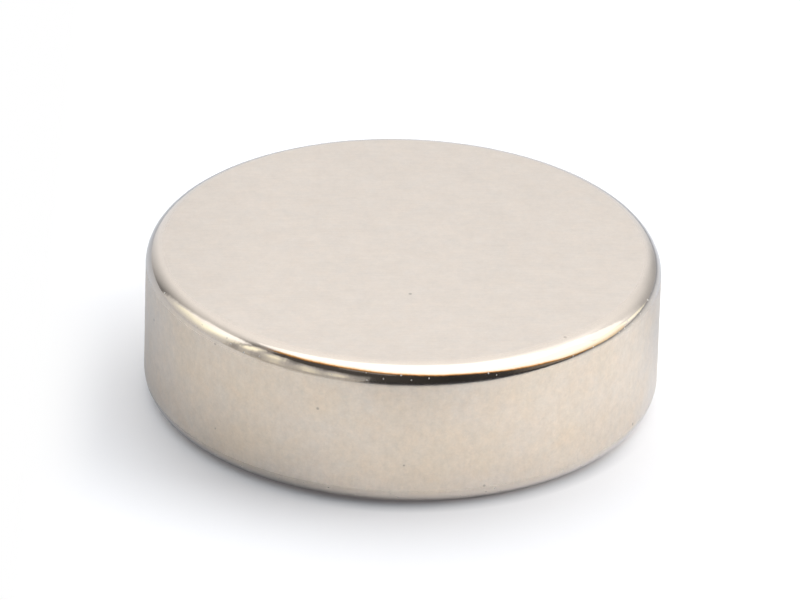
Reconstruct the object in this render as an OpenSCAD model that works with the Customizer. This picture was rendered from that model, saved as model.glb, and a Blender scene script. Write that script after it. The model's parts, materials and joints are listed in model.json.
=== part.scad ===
// Disc magnet: a sintered round with two flat pole faces, tumbled edges and bright nickel plating.
// It rests on its lower pole face. The origin is the centre of that face, and +Z is the disc's axis.

/* [Magnet] */
// Diameter over the rim
magnet_d = 10; // [4:0.5:40]
// Thickness from pole face to pole face
magnet_h = 3; // [1.5:0.5:20]

/* [Edges] */
// Radius of the tumbled edge around each pole face
edge_r = 0.4; // [0.1:0.05:0.7]

/* [Hidden] */

// Steps in a full turn, where a curve has to be drawn as facets
$fn = 180;

magnet_r = magnet_d / 2;
// Half width of the flat pole face, which is also where the edge's arc has its centre
face_r = magnet_r - edge_r;
nickel = [0.83, 0.79, 0.74];

// Half of the disc's section, to the right of the axis: the face's width at full height,
// the rim's band at full radius, and a quarter round where they meet at each end.
module half_section() {
    square([face_r, magnet_h]);
    translate([0, edge_r]) square([magnet_r, magnet_h - 2 * edge_r]);
    for (arc_z = [edge_r, magnet_h - edge_r])
        translate([face_r, arc_z]) circle(r = edge_r);
}

module disc_magnet() {
    color(nickel) rotate_extrude() half_section();
}

disc_magnet();
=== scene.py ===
import json
import math

import bpy
from mathutils import Matrix, Vector

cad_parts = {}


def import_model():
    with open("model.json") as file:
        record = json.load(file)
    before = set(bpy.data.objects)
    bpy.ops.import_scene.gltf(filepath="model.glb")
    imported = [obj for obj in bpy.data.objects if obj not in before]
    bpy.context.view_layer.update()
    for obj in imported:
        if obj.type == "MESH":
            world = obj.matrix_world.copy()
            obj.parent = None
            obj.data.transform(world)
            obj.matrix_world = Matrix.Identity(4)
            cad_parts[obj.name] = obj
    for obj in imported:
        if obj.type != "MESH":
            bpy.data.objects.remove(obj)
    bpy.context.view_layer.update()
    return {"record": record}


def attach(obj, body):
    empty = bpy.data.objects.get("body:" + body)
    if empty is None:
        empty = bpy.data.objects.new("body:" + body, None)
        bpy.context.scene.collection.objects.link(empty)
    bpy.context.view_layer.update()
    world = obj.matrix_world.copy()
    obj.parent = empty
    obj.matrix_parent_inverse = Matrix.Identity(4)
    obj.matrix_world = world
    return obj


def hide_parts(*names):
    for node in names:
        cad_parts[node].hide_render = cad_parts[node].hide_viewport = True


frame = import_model()

# Looks of a nickel-plated disc magnet that lies on a white sheet under a wide overhead panel.
# Metres throughout. The disc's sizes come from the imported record's mounts. Directions are an azimuth
# from the front, to the right, and an elevation, both in degrees.

MOUNTS = {mount["name"]: mount for mount in frame["record"]["mounts"]}
RADIUS = MOUNTS["rim"]["dims"]["r_mm"] / 1000
WALL = MOUNTS["rim"]["dims"]["length_mm"] / 1000
THICKNESS = MOUNTS["upper_pole_face"]["pos_m"][2]
EDGE = (THICKNESS - WALL) / 2
DIAMETER = 2 * RADIUS
MM = 0.001
CENTRE = Vector((0, 0, THICKNESS / 2))


# ---------------------------------------------------------------- node trees written as expressions


class Wire:
    """An output socket. Arithmetic on it adds Math nodes to its tree."""

    def __init__(self, tree, socket):
        self.tree = tree
        self.socket = socket

    def output(self, name):
        """Another output of the same node."""
        return Wire(self.tree, self.socket.node.outputs[name])

    def math(self, operation, *others):
        return self.tree.add("ShaderNodeMath", {"operation": operation}, dict(enumerate((self, *others))))

    def __add__(self, other):
        return self.math("ADD", other)

    __radd__ = __add__

    def __sub__(self, other):
        return self.math("SUBTRACT", other)

    def __rsub__(self, other):
        return self * -1 + other

    def __mul__(self, other):
        return self.math("MULTIPLY", other)

    __rmul__ = __mul__

    def __truediv__(self, other):
        return self.math("DIVIDE", other)

    def __rtruediv__(self, other):
        return self**-1 * other

    def __pow__(self, other):
        return self.math("POWER", other)

    def ramp(self, low, high, to_low=0.0, to_high=1.0, smooth=False):
        """This value's place between low and high, held at the ends."""
        kind = "SMOOTHSTEP" if smooth else "LINEAR"
        return self.tree.add(
            "ShaderNodeMapRange",
            {"interpolation_type": kind, "clamp": True},
            {0: self, 1: low, 2: high, 3: to_low, 4: to_high},
        )

    def between(self, low, high, soft):
        """1 where this value lies between low and high, fading to 0 over soft outside them."""
        return self.ramp(low - soft, low, smooth=True) * self.ramp(high, high + soft, 1, 0, smooth=True)


class Tree:
    """Adds nodes to a shader or geometry tree, each with its settings first and then its inputs."""

    def __init__(self, tree):
        self.tree = tree

    def add(self, kind, settings=None, inputs=None, out=0):
        node = self.tree.nodes.new(kind)
        for name, value in (settings or {}).items():
            setattr(node, name, value)
        for name, value in (inputs or {}).items():
            self.feed(node.inputs[name], value)
        return Wire(self, node.outputs[out]) if len(node.outputs) else node

    def feed(self, socket, value):
        if isinstance(value, Wire):
            self.tree.links.new(value.socket, socket)
        else:
            socket.default_value = value

    def parts(self, vector):
        """The three numbers of a vector."""
        split = self.add("ShaderNodeSeparateXYZ", None, {0: vector})
        return [split.output(axis) for axis in "XYZ"]

    def rays(self, *kinds):
        """For each kind, 1 if the ray that asks is of that kind and 0 if not."""
        path = self.add("ShaderNodeLightPath")
        return [path.output(f"Is {kind} Ray") for kind in kinds]

    def bearings(self, vector):
        """The azimuth and the elevation of a direction."""
        unit = self.add("ShaderNodeVectorMath", {"operation": "NORMALIZE"}, {0: vector})
        x, y, z = self.parts(unit)
        return x.math("ARCTAN2", y * -1) * (180 / math.pi), z.math("ARCSINE") * (180 / math.pi)

    def colour(self, red, green, blue):
        return self.add("ShaderNodeCombineColor", None, {0: red, 1: green, 2: blue})

    def grey(self, value):
        """A number as a colour."""
        return self.colour(value, value, value)

    def mix(self, factor, first, second, blend="MIX"):
        """Two colours mixed."""
        settings = {"data_type": "RGBA", "blend_type": blend}
        return self.add("ShaderNodeMix", settings, {"Factor": factor, 6: first, 7: second}, out=2)


def new_material(name):
    """An empty material and its tree."""
    material = bpy.data.materials.new(name)
    material.use_nodes = True
    material.node_tree.nodes.clear()
    return material, Tree(material.node_tree)


# ---------------------------------------------------------------- the plated disc

ROWS = {"rim": 8, "edge": 24, "face": 12}  # mesh rows in half of the section
COLUMNS = 480  # mesh columns round the axis
MERGE_DISTANCE = 0.0001 * MM
RIPPLE_STARTS = 0.4  # share of the edge radius over which the ripple grows from nothing
DISC = {
    "Radius": RADIUS,
    "Thickness": THICKNESS,
    "Edge radius": EDGE,
    "Ripple height": 0.008 * MM,
    "Ripple length": 0.9 * MM,
    "Seed": 4.0,
}


def lathe_tree(material):
    """Geometry nodes that turn the half section round the axis: a grid whose columns go round and
    whose rows run from the centre of the lower face, over the rim, to the centre of the upper face.
    The rounded edge is then rippled, as tumbling leaves it."""
    group = bpy.data.node_groups.new("turned_disc", "GeometryNodeTree")
    for name in DISC:
        group.interface.new_socket(name, in_out="INPUT", socket_type="NodeSocketFloat")
    group.interface.new_socket("Geometry", in_out="OUTPUT", socket_type="NodeSocketGeometry")
    t = Tree(group)
    given = t.add("NodeGroupInput")
    radius, thickness, edge, ripple, ripple_length, seed = (given.output(name) for name in DISC)

    half_rows = sum(ROWS.values())
    grid = t.add(
        "GeometryNodeMeshGrid",
        None,
        {"Size X": 1.0, "Size Y": 2.0, "Vertices X": COLUMNS + 1, "Vertices Y": 2 * half_rows + 1},
    )
    across, along, _ = t.parts(t.add("GeometryNodeInputPosition"))
    turn = across * (2 * math.pi)
    side = along.math("SIGN")
    height = along.math("ABSOLUTE")

    rim_end = ROWS["rim"] / half_rows
    edge_end = (ROWS["rim"] + ROWS["edge"]) / half_rows
    up_rim = 1 - (1 - height.ramp(0, rim_end)) ** 2
    round_edge = height.ramp(rim_end, edge_end, 0, math.pi / 2)
    over_face = height.ramp(edge_end, 1) ** 2
    reach = (radius - edge) * (1 - over_face) + edge * round_edge.math("COSINE")
    rise = up_rim * (thickness / 2 - edge) + edge * round_edge.math("SINE")
    spot = t.add(
        "ShaderNodeCombineXYZ",
        None,
        {0: reach * turn.math("COSINE"), 1: reach * turn.math("SINE"), 2: side * rise + thickness / 2},
    )
    turned = t.add("GeometryNodeSetPosition", None, {"Geometry": grid, "Position": spot})
    closed = t.add("GeometryNodeMergeByDistance", None, {"Geometry": turned, "Distance": MERGE_DISTANCE})

    noise = t.add(
        "ShaderNodeTexNoise",
        {"noise_dimensions": "4D"},
        {"W": seed, "Scale": 1 / ripple_length, "Detail": 2.0, "Roughness": 0.55},
    )
    x, y, z = t.parts(t.add("GeometryNodeInputPosition"))
    from_axis = (x * x + y * y).math("SQRT")
    from_middle = (z - thickness / 2).math("ABSOLUTE")
    full = edge * (1 - RIPPLE_STARTS)
    on_corner = from_axis.ramp(radius - edge, radius - full)
    on_corner = on_corner * from_middle.ramp(thickness / 2 - edge, thickness / 2 - full)
    push = t.add(
        "ShaderNodeVectorMath",
        {"operation": "SCALE"},
        {0: t.add("GeometryNodeInputNormal"), "Scale": (noise - 0.5) * ripple * on_corner},
    )
    rippled = t.add("GeometryNodeSetPosition", None, {"Geometry": closed, "Offset": push})
    smooth = t.add("GeometryNodeSetShadeSmooth", None, {0: rippled})
    real = t.add("GeometryNodeRealizeInstances", None, {0: smooth})
    plated = t.add("GeometryNodeSetMaterial", None, {"Geometry": real, "Material": material})
    t.add("NodeGroupOutput", None, {0: plated})
    return group


def grown(name, group, sizes):
    """The plain mesh that a geometry tree makes for these named sizes."""
    host = bpy.data.objects.new(name + "_host", bpy.data.meshes.new(name + "_host"))
    bpy.context.scene.collection.objects.link(host)
    modifier = host.modifiers.new("tree", "NODES")
    modifier.node_group = group
    for item in group.interface.items_tree:
        if item.item_type == "SOCKET" and item.in_out == "INPUT":
            modifier[item.identifier] = sizes[item.name]
    evaluated = host.evaluated_get(bpy.context.evaluated_depsgraph_get())
    mesh = bpy.data.meshes.new_from_object(evaluated)
    mesh.name = name
    host.modifiers.remove(modifier)
    bpy.data.objects.remove(host)
    piece = bpy.data.objects.new(name, mesh)
    bpy.context.scene.collection.objects.link(piece)
    return piece


NICKEL = (0.758, 0.680, 0.604)
WALL_COOL = (0.695, 0.62, 0.54)
WALL_WARM = (0.703, 0.606, 0.493)
GRAZING_TINT = (0.82, 0.87, 0.94, 1)  # where light glances off, it comes back cooler
DUST = (0.62, 0.6, 0.56, 1)
EDGE_ROUGHNESS = 0.1
FACE_ROUGHNESS = 0.33
WALL_ROUGHNESS = 0.35
DARK_SPECK_RADIUS = 0.035 * MM
DUST_RADIUS = 0.02 * MM
PEEL_HEIGHT = 0.0025 * MM  # of the fine waviness in the edge's gloss


def nickel():
    """Bright barrel plating, warm grey, glossier on the tumbled edge than on the ground faces. Faint
    mottle, hairlines and dark pinpoint specks break it up, and a few specks of dust lie on the edge."""
    material, t = new_material("nickel_plating")
    place = t.add("ShaderNodeTexCoord", out="Object")
    x, y, z = t.parts(place)
    from_axis = (x * x + y * y).math("SQRT")
    from_middle = (z - THICKNESS / 2).math("ABSOLUTE")
    around = x.math("ARCTAN2", y * -1) * RADIUS

    # Where the satin of the face and of the wall gives way to the edge's gloss.
    face = from_axis.ramp(RADIUS - EDGE, RADIUS - 0.5 * EDGE, 1, 0, smooth=True)
    wall = from_middle.ramp(WALL / 2, WALL / 2 + 0.27 * EDGE, 1, 0, smooth=True)
    edge = (1 - face) * (1 - wall)

    def noise(length, detail=2.0, keep=0.5, where=place):
        """Clouds whose largest puffs have this length, from -0.5 to 0.5."""
        sizes = {"Vector": where, "Scale": 1 / length, "Detail": detail, "Roughness": keep}
        return t.add("ShaderNodeTexNoise", None, sizes) - 0.5

    def flat(first, second):
        return t.add("ShaderNodeCombineXYZ", None, {0: first, 1: second})

    def specks(where, cell, radius, share):
        """Round dots, at most one to a cell, in this share of the cells."""
        settings = {"voronoi_dimensions": "2D", "feature": "F1"}
        dot = t.add("ShaderNodeTexVoronoi", settings, {"Vector": where, "Scale": 1 / cell})
        chance, size, _ = t.parts(dot.output("Color"))
        wide = radius / cell * (0.6 + size * 0.8)
        return dot.ramp(wide * 0.6, wide, 1, 0) * chance.math("LESS_THAN", share)

    clouds = noise(0.45 * MM, 5.0, 0.8)
    flecks = noise(0.15 * MM, 3.0, 0.8)
    grain = noise(0.05 * MM, 1.0)
    tints = noise(0.5 * MM, 5.0, 0.85)
    stains = noise(1.3 * MM, 3.0, 0.6)
    streaks = noise(1.0, 2.0, 0.6, flat(around / (0.09 * MM), z / (1.1 * MM)))
    hairlines = noise(1.0, 2.0, 0.7, flat((x + y * 0.35) / (1.4 * MM), (y - x * 0.08) / (0.04 * MM)))

    # Painted shade and tone: the face's colour is darkened at its back and far left as painted shade,
    # over its own mottle and hairlines, and the wall is stained warm. The wall's tone reaches further
    # over the edge than its satin does.
    face_painted_shade_and_mottle = (y / DIAMETER).ramp(-0.3, 0.45, 1, 0.953) * (x / DIAMETER).ramp(-0.5, -0.28, 0.945, 1)
    face_painted_shade_and_mottle = face_painted_shade_and_mottle * (1 + clouds * 0.2 + flecks * 0.12 + grain * 0.04 + hairlines * 0.08)
    side_shade = 1 + clouds * 0.18 + flecks * 0.28 + grain * 0.1 + streaks * 0.05
    side = from_middle.ramp(WALL / 2 + 0.1 * EDGE, WALL / 2 + 0.6 * EDGE, 1, 0, smooth=True)
    stained = stains * 2.2 + (z / THICKNESS).between(0.3, 0.78, 0.25) * 0.7
    worn = t.mix(side, (*NICKEL, 1), t.mix(stained.ramp(0, 1), (*WALL_COOL, 1), (*WALL_WARM, 1)))
    # The face's painted shade goes into the colour here, with the mottle of face and wall.
    shade = 1 + face * (face_painted_shade_and_mottle - 1) + side * (side_shade - 1)
    # Dark pinpoint specks, where the colour is darkened.
    dark_specks = specks(flat(x, y), cell=1.5 * MM, radius=DARK_SPECK_RADIUS, share=0.1) * face
    dark_specks = dark_specks + specks(flat(around, z), cell=0.8 * MM, radius=DARK_SPECK_RADIUS, share=0.16) * wall
    shade = shade * (1 - dark_specks * 0.38)
    warmer = tints * (face * 0.075 + side * 0.14)
    tone = t.mix(1.0, worn, t.colour(shade * (1 + warmer), shade, shade * (1 - warmer)), "MULTIPLY")

    dusty = from_middle.between(WALL / 2 + 0.26 * EDGE, WALL / 2 + 0.56 * EDGE, 0.04 * EDGE) * edge
    dust = specks(flat(around, z), cell=0.17 * MM, radius=DUST_RADIUS, share=0.3) * dusty
    tone = t.mix(dust, tone, DUST)

    rough = EDGE_ROUGHNESS + face * (FACE_ROUGHNESS - EDGE_ROUGHNESS + clouds * 0.06)
    rough = rough + wall * (WALL_ROUGHNESS - EDGE_ROUGHNESS + clouds * 0.1) + dust * 0.5
    peel = noise(0.25 * MM) * edge * PEEL_HEIGHT
    bump = t.add("ShaderNodeBump", None, {"Strength": 1.0, "Distance": 1.0, "Height": peel})
    shader = t.add(
        "ShaderNodeBsdfPrincipled",
        None,
        {
            "Metallic": 1 - dust,
            "Specular Tint": GRAZING_TINT,
            "Base Color": tone,
            "Roughness": rough,
            "Normal": bump,
        },
    )
    t.add("ShaderNodeOutputMaterial", None, {0: shader})
    return material


disc = grown("plated_disc", lathe_tree(nickel()), DISC)
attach(disc, "root")
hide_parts("disc_magnet")


# ---------------------------------------------------------------- the set: sheet, lamps and cards

BACKDROP = 1.03  # the surround that the plating mirrors, where 1 is white

# The surround's light on the sheet. It rises from the front left to the back right.
FILL_LEFT = 0.58
FILL_RIGHT = 2.02
FILL_TURN = 2.0  # how much more it rises towards the back than to the right
FILL_TINT = (0.99, 0.99, 1.005)

# The sheet's paper, and its own faint glow, which keeps the shadow from going dark: out on the sheet,
# and close under the disc.
PAPER = 0.85
FLOOR_GLOW = (0.055, 0.07, 0.09)
UNDER_GLOW = (0.062, 0.058, 0.062)
TABLE_FRONT = -1.15 * DIAMETER  # where the sheet's front edge would be; only the plating sees past it

PANEL_HEIGHT = 35 * DIAMETER
PANEL_CENTRE = Vector((2.2, -0.72, 1.0)) * PANEL_HEIGHT
PANEL_SIZE = (5.7 * PANEL_HEIGHT, 1.75 * PANEL_HEIGHT)
PANEL_EDGE = 56  # elevation of the panel's front edge at the left
PANEL_EDGE_BENDS = ((-30, 0.35), (33, 0.27), (78, -0.3))  # azimuths, and the slope added past each

ROOM = 32 * DIAMETER  # nearer than the panel, so the room hides the panel's front edge
HORIZON = -1  # a little below the sheet's far edge, so that no gap shows

# The bay window at the left: where its left jamb stands and how it leans, and how high its head is
# straight in front and how it rises to the right.
JAMB = -125
JAMB_LEAN = 0.32
HEAD = 64.6
HEAD_SLOPE = 0.2
WINDOW_WARM = (1.0, 1.0, 0.62)

# The window at the right, and its sill.
RIGHT_WINDOW = (91, 25)
RIGHT_WINDOW_SIZE = (38 * DIAMETER, 38 * DIAMETER)
RIGHT_WINDOW_DISTANCE = 60 * DIAMETER
SILL_TOP = 20

CURTAIN = (-80, -13)
RAIL = 45.5  # elevation of the curtain's rail at its left end
RAIL_FALL = 0.34
FOLDS = (-80, -69, -54.5, -38, -25.5)
FOLD_HALF = 1.5
FOLD_SOFT = 4.5


def aim(azimuth, elevation):
    """The direction that lies at this azimuth and elevation."""
    a, e = math.radians(azimuth), math.radians(elevation)
    return Vector((math.sin(a) * math.cos(e), -math.cos(a) * math.cos(e), math.sin(e)))


def emitter(name, colour):
    """A glow where 1 is white. The colour is three numbers, or a function that makes it in the tree."""
    material, t = new_material(name)
    shade = colour(t) if callable(colour) else (*colour, 1)
    glow = t.add("ShaderNodeEmission", None, {"Color": shade, "Strength": 1.0})
    t.add("ShaderNodeOutputMaterial", None, {0: glow})
    return material


def stage_mesh(name, points, faces, material, seen=False, lights_floor=False):
    """A mesh of the set. Only the plating sees it, unless the camera does too or it takes part in the
    light on the floor."""
    mesh = bpy.data.meshes.new(name)
    mesh.from_pydata(points, [], faces)
    mesh.materials.append(material)
    piece = bpy.data.objects.new(name, mesh)
    bpy.context.scene.collection.objects.link(piece)
    piece.visible_camera = seen
    piece.visible_diffuse = lights_floor


CARD_STEP = 2.5  # degrees of azimuth between a card's columns
CARD_ROWS = 12


def card(name, azimuths, foot, top, colour, distance, lights_floor=False):
    """A glowing card that stands round the disc between two azimuths. For each azimuth foot and top
    give the elevations that it spans."""
    first, last = azimuths
    steps = max(2, round((last - first) / CARD_STEP))
    points = []
    for i in range(steps + 1):
        azimuth = first + (last - first) * i / steps
        low, high = foot(azimuth), top(azimuth)
        for j in range(CARD_ROWS + 1):
            points.append(aim(azimuth, low + (high - low) * j / CARD_ROWS) * distance)
    rows = CARD_ROWS + 1
    faces = [
        (i * rows + j, (i + 1) * rows + j, (i + 1) * rows + j + 1, i * rows + j + 1)
        for i in range(steps)
        for j in range(CARD_ROWS)
    ]
    stage_mesh(name, points, faces, emitter(name, colour), lights_floor=lights_floor)


def lamp(name, place, size, radiance, facing=None, lights_floor=True, mirrored=True):
    """A soft box that faces the disc, unless told otherwise. Its face has this radiance, where 1 is
    white. It lights the floor, shows in the plating, or both."""
    data = bpy.data.lights.new(name, "AREA")
    data.shape = "RECTANGLE"
    data.size, data.size_y = size
    data.energy = radiance * math.pi * size[0] * size[1]
    box = bpy.data.objects.new(name, data)
    box.visible_camera = False
    box.visible_diffuse = lights_floor
    box.visible_glossy = mirrored
    bpy.context.scene.collection.objects.link(box)
    towards = (facing or (CENTRE - place)).normalized()
    box.matrix_world = Matrix.Translation(place) @ towards.to_track_quat("-Z", "Y").to_matrix().to_4x4()


def sheet_material():
    """White paper. The camera sees it white away from the disc, with a painted soft shadow tucked in at
    the disc's front. The plating sees a painted fall-off of light over it. Lengths here are in diameters."""
    material, t = new_material("white_sheet")
    spot = t.add("ShaderNodeTexCoord", out="Object")
    right, _, _ = t.parts(spot)
    right = right / DIAMETER
    bearing, _ = t.bearings(spot)
    reach = t.add("ShaderNodeVectorMath", {"operation": "LENGTH"}, {0: spot}, out=1) / DIAMETER
    camera, glossy = t.rays("Camera", "Glossy")

    # Painted light and shade that only the plating sees: brighter to the right and in front, and dimmer
    # far off, behind the disc at both sides, close to it at the left, and most of all far off at the
    # right.
    across = right.ramp(-1.3, 0.9, 0.8, 1.12)
    fall_off = 1 - reach.ramp(0.9, 4) * (0.15 + right.ramp(0, 1.6) * 0.45)
    right_back = bearing.ramp(89, 113, 1, 0.73, smooth=True) * bearing.ramp(125, 160, 1, 1.15)
    left_back = bearing.ramp(-140, -92, 0.88, 1) * bearing.ramp(-105, -65, 0.83, 0.98)
    front = 1 + bearing.between(-10, 45, 25) * 0.055
    painted_contact_shade = 1 - reach.ramp(0.5, 0.75, 1, 0) * bearing.between(-150, -30, 30) * 0.2
    painted_far_right_shade = 1 - reach.ramp(1.2, 3.5) * bearing.between(60, 96, 8) * 0.5
    mirrored = across * fall_off * right_back * left_back * front * painted_contact_shade * painted_far_right_shade

    # Painted shadow: the paper's colour is darkened by up to about a third just in front of the disc,
    # except where the plating sees it.
    painted_contact_shadow = reach.ramp(0.482, 0.52, 1, 0) * bearing.between(-2, 44, 28) * 0.36
    shade = 1 - painted_contact_shadow + glossy * (mirrored - 1 + painted_contact_shadow)
    paper = t.add("ShaderNodeBsdfDiffuse", None, {"Color": t.grey(shade * PAPER)})
    tint = t.mix(reach.ramp(0.472, 0.492), (*UNDER_GLOW, 1), (*FLOOR_GLOW, 1))
    glow = t.add("ShaderNodeEmission", None, {"Color": tint, "Strength": camera.math("MAXIMUM", glossy)})
    both = t.add("ShaderNodeAddShader", None, {0: paper, 1: glow})

    # Off to the left the camera sees plain white, into which the shadow fades.
    white = t.add("ShaderNodeEmission", None, {"Color": (1, 1, 1, 1), "Strength": 1.0})
    left_out = camera * right.ramp(-0.72, -0.55, 1, 0, smooth=True)
    seen = t.add("ShaderNodeMixShader", None, {0: left_out, 1: both, 2: white})
    t.add("ShaderNodeOutputMaterial", None, {0: seen})
    return material


def floor():
    reach = 250 * DIAMETER
    corners = [(-reach, -reach, 0), (reach, -reach, 0), (reach, reach, 0), (-reach, reach, 0)]
    stage_mesh("white_sheet", corners, [(0, 1, 2, 3)], sheet_material(), seen=True, lights_floor=True)


def world():
    """A white surround. The plating sees a bay window at the left in a shaded frame, a dim corner at
    the right, the glow of the panel and of its far end, and the pale ledge that leads from it."""
    surround = bpy.data.worlds.new("white_surround")
    bpy.context.scene.world = surround
    surround.use_nodes = True
    surround.node_tree.nodes.clear()
    t = Tree(surround.node_tree)
    direction = t.add("ShaderNodeTexCoord")
    right, away, up = t.parts(direction)
    azimuth, elevation = t.bearings(direction)

    # How far a direction lies past the bay window's left jamb, and past its head.
    left_of = (elevation * JAMB_LEAN + JAMB) - azimuth + elevation.ramp(8, 20, 2.5, 0)
    above = elevation - (azimuth * HEAD_SLOPE + HEAD) + azimuth.ramp(-91, -81, 0, 6)
    outside = left_of.math("MAXIMUM", above)
    in_bay = azimuth.ramp(-60, -50, 1, 0)
    frame_depth = elevation.ramp(4, 42, 0.88, 0.32).math("MAXIMUM", azimuth.ramp(-102, -82, 0.32, 0.9))
    frame_fade = left_of.ramp(4, 40, 1, 0) * above.ramp(6, 20, 1, 0) * in_bay
    framed = left_of.ramp(-1, 5).math("MAXIMUM", above.ramp(-1, 1))
    window_frame = 1 - framed * frame_fade * frame_depth
    inside = outside.ramp(-1, 1, 1, 0) * in_bay
    lit_height = (elevation - azimuth.ramp(-94, -86, 0, 6)).ramp(0, 28, smooth=True)
    window = outside.ramp(-4, 0, 1, 0) * azimuth.ramp(-84, -78, 1, 0) * azimuth.ramp(-94, -86, 1, 0.85)
    window = window * lit_height

    # The rest of the room, as shares of the backdrop or as glows added to it.
    right_corner = azimuth.between(131, 150, 18) * elevation.ramp(2, 40, 1, 0, smooth=True)
    panel_glow = azimuth.between(60, 112, 38) * elevation.between(50, 64, 12) * 0.4
    panel_end = azimuth.between(98, 114, 5) * elevation.between(22, 48, 8) * 0.52
    ledge = (elevation + azimuth * 0.75 - 94).between(-2, 2, 4) * azimuth.between(108, 124, 8)
    overhead = elevation.ramp(28, 50, 0, 0.07) + (up.math("MAXIMUM", 0.0) ** 16) * 0.22
    room = BACKDROP * window_frame * (1 - inside * 0.28) * (1 - right_corner * 0.5)
    room = room + overhead + panel_glow + panel_end

    # The camera sees white, the plating sees the room, and the sheet is lit by a plain gradient.
    camera, glossy, clear = t.rays("Camera", "Glossy", "Transmission")
    lighting = 1 - camera.math("MAXIMUM", clear).math("MAXIMUM", glossy)
    sunlight = t.mix(elevation.ramp(20, 34), (*WINDOW_WARM, 1), (1, 1, 1, 1))
    seen = t.mix(window * azimuth.ramp(-106, -92, 0.6, 0.85), t.grey(room), sunlight, "ADD")
    seen = t.mix(ledge * 0.5, seen, (*WINDOW_WARM, 1), "ADD")
    shade = t.mix(glossy, (BACKDROP, BACKDROP, BACKDROP, 1), seen)
    fill = (right + away * FILL_TURN).ramp(-1, 1, FILL_LEFT, FILL_RIGHT)
    shade = t.mix(lighting, shade, t.mix(1.0, t.grey(fill), (*FILL_TINT, 1), "MULTIPLY"))
    sky = t.add("ShaderNodeBackground", None, {"Color": shade, "Strength": 1.0})
    t.add("ShaderNodeOutputWorld", None, {0: sky})


def room_top(azimuth):
    """The dark room ends under the panel, whose edge comes down towards the right."""
    fall = sum(steeper * max(azimuth - bend, 0) for bend, steeper in PANEL_EDGE_BENDS)
    return max(PANEL_EDGE - fall, 0)


def curtain_top(azimuth):
    """The curtain hangs from a rail that comes down towards the front."""
    return RAIL - (azimuth - CURTAIN[0]) * RAIL_FALL


def horizon(azimuth):
    return HORIZON


def sill_top(azimuth):
    return SILL_TOP


def curtain(t):
    """Cloth in folds with the window's raking light painted on: warm where lit, and dim towards its far
    top.
    """
    azimuth, elevation = t.bearings(t.add("ShaderNodeTexCoord", out="Object"))
    lean = azimuth + elevation * 0.1
    folds = sum(lean.between(fold - FOLD_HALF, fold + FOLD_HALF, FOLD_SOFT) for fold in FOLDS) - 0.45
    raised = elevation.ramp(12, 28, smooth=True)  # from the foot's light to the window's
    at_foot = azimuth.ramp(-76, -48, 0.42, 0.72) + azimuth.ramp(-80, -77, 0.2, 0)
    at_head = azimuth.ramp(-66, -46, 1, 0.7)
    fade_from = azimuth.ramp(-70, -27, 33, 10)
    fade = (elevation - fade_from).ramp(0, 18, 1, 0.12)
    place = t.add("ShaderNodeCombineXYZ", None, {0: azimuth / 5, 1: elevation / 14})
    wrinkles = t.add("ShaderNodeTexNoise", None, {"Vector": place, "Scale": 1.0, "Detail": 2.0}) - 0.5
    last_fold = azimuth.ramp(-24, -17, 1, 0.72)
    gap = raised * lean.between(-74, -72.5, 2)
    creased = 1 + folds * (0.5 + raised * 0.4) + wrinkles * 0.4 - gap * 0.3
    lit = (at_foot + (at_head - at_foot) * raised) * fade * last_fold * creased
    sunny = t.mix(1.0, t.grey(lit), (1.03, 1.0, 0.83, 1), "MULTIPLY")
    return t.mix(lit.ramp(0.5, 1.1), t.grey(lit), sunny)


def gloom(t):
    """The unlit room, darkest in front of the disc and lighter at its two ends."""
    azimuth, _ = t.bearings(t.add("ShaderNodeTexCoord", out="Object"))
    dim = (azimuth - 22).math("ABSOLUTE").ramp(0, 45, 0.034, 0.08) + azimuth.ramp(-73, -67, 0.3, 0)
    return t.mix(azimuth.ramp(48, 74), t.colour(dim, dim * 0.95, dim * 0.92), (0.36, 0.32, 0.28, 1))


def sill(t):
    """The low end of the window, which turns warm towards its foot."""
    azimuth, elevation = t.bearings(t.add("ShaderNodeTexCoord", out="Object"))
    height = elevation.ramp(azimuth.ramp(82, 96, 4, 0), azimuth.ramp(82, 96, 14, 13))
    return t.mix(height, (1, 0.8, 0.52, 1), (1.55, 1.47, 1.27, 1))


def past_the_table(name, azimuths, near_colour, far_colour):
    """What the plating sees in front of the table, between two azimuths: a card just above the sheet,
    which fades from the near colour to the far one."""
    near, far = -TABLE_FRONT, 0.9 * ROOM
    left, right = (math.tan(math.radians(azimuth)) for azimuth in azimuths)
    corners = ((left, near), (right, near), (right, far), (left, far))
    points = [(slope * reach, -reach, 0.01 * DIAMETER) for slope, reach in corners]

    def fading(t):
        _, away, _ = t.parts(t.add("ShaderNodeTexCoord", out="Object"))
        nearness = away.ramp(TABLE_FRONT - 0.5 * DIAMETER, TABLE_FRONT)
        return t.mix(nearness, (*far_colour, 1), (*near_colour, 1))

    stage_mesh(name, points, [(0, 1, 2, 3)], emitter(name, fading))


floor()
world()
down = Vector((0, 0, -1))
lamp("overhead_panel", PANEL_CENTRE, PANEL_SIZE, radiance=0.5, facing=down, lights_floor=False)
right_window = aim(*RIGHT_WINDOW) * RIGHT_WINDOW_DISTANCE
lamp("right_window", right_window, RIGHT_WINDOW_SIZE, radiance=3.6, mirrored=False)

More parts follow.
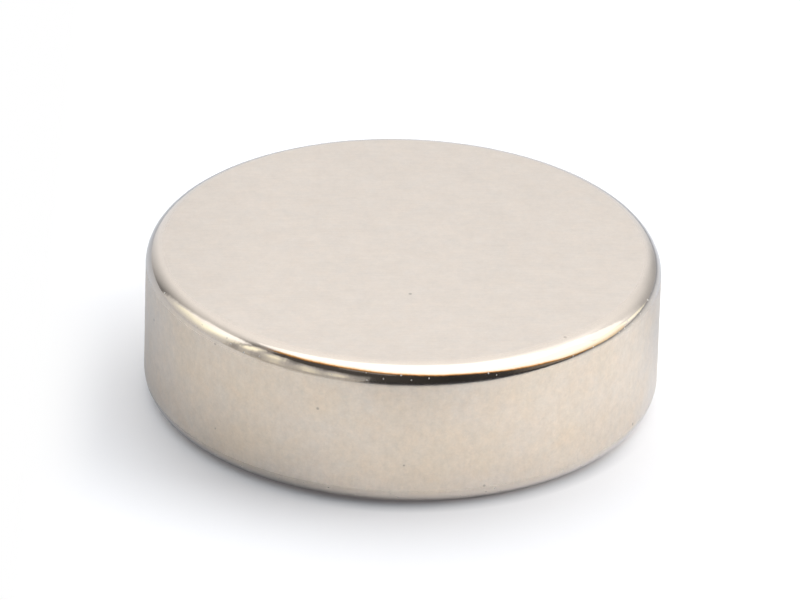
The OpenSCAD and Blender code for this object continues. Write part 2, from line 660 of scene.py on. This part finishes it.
card("dark_room", (-80, 100), horizon, room_top, gloom, ROOM, lights_floor=True)
# Bands along the panel's edge, each between two heights above it in degrees.
for name, azimuths, low, high, tone in (
    ("panel_fringe", (-64, 74), 2, 7, (1.8, 1.28, 1.05)),
    ("panel_rim", (-80, 108), -1.5, 2, (0.9, 0.55, 0.18)),
    ("rim_shade", (-80, 108), -5, -1.5, (0.36, 0.17, 0.06)),
    ("panel_underside", (-31, -2), -11, -5, (0.25, 0.235, 0.225)),
):
    card(
        name,
        azimuths,
        lambda azimuth, above=low: room_top(azimuth) + above,
        lambda azimuth, above=high: room_top(azimuth) + above,
        tone,
        0.96 * ROOM,
    )
card("warm_sill", (71, 109), room_top, sill_top, sill, 0.94 * ROOM)
card("left_curtain", CURTAIN, horizon, curtain_top, curtain, 0.92 * ROOM)
past_the_table("dark_front", (-14, 84), (0.12, 0.15, 0.21), (0.045, 0.045, 0.05))
past_the_table("grey_front", (-80, -14), (0.6, 0.61, 0.61), (0.55, 0.55, 0.54))


# ---------------------------------------------------------------- the camera

ELEVATION = math.radians(27.6)
ROLL = math.radians(1.75)
LENS = 405
SENSOR = 36
DISTANCE = 17.5 * DIAMETER
DISC_RIGHT_OF_AXIS = 0.005 * DIAMETER  # how far the disc's centre lies off the lens's axis
DISC_ABOVE_AXIS = -0.031 * DIAMETER


def place_camera():
    data = bpy.data.cameras.new("camera")
    data.lens = LENS
    data.sensor_width = SENSOR
    data.clip_start = 0.01
    data.clip_end = 10
    eye = bpy.data.objects.new("camera", data)
    bpy.context.scene.collection.objects.link(eye)
    bpy.context.scene.camera = eye
    back = Vector((0, -math.cos(ELEVATION), math.sin(ELEVATION)))
    right = Vector((1, 0, 0))
    up = back.cross(right)
    eye.location = CENTRE + back * DISTANCE - right * DISC_RIGHT_OF_AXIS - up * DISC_ABOVE_AXIS
    turned = Matrix((right, up, back)).transposed() @ Matrix.Rotation(ROLL, 3, "Z")
    eye.rotation_euler = turned.to_euler()


place_camera()
bpy.context.scene.view_settings.view_transform = "Standard"
